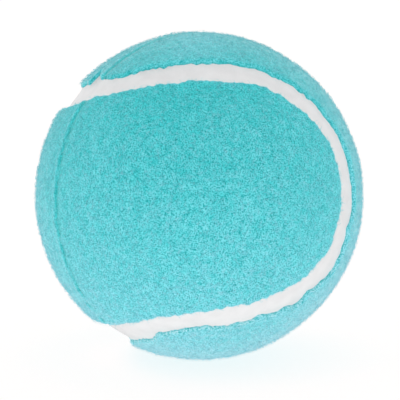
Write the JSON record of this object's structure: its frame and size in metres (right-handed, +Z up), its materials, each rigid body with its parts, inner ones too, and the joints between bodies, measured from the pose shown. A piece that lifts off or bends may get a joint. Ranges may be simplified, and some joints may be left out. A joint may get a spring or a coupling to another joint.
{
  "type": "tennis ball",
  "caption": "Tennis ball with light turquoise felt and a wide white rubber seam: hollow two-half rubber core, two dog-bone felt panels on adhesive coats, and one closed seam.",
  "frame": {"origin": "centre of the ball", "axes": "+Z is up as the ball lies in the picture, and -Y faces the camera. The cover is turned to the picture's view inside this frame."},
  "size_m": [0.0666, 0.0666, 0.0666],
  "materials": {
    "core_rubber": "matte",
    "cement": "matte",
    "felt": "matte",
    "seam_rubber": "satin"
  },
  "bodies": {
    "root": {"core_half_upper": "core_rubber", "core_half_lower": "core_rubber", "core_joint_cement": "cement", "panel_cement_left": "cement", "panel_cement_right": "cement", "felt_panel_left": "felt", "felt_panel_right": "felt", "seam_strip": "seam_rubber"}
  },
  "joints": []
}
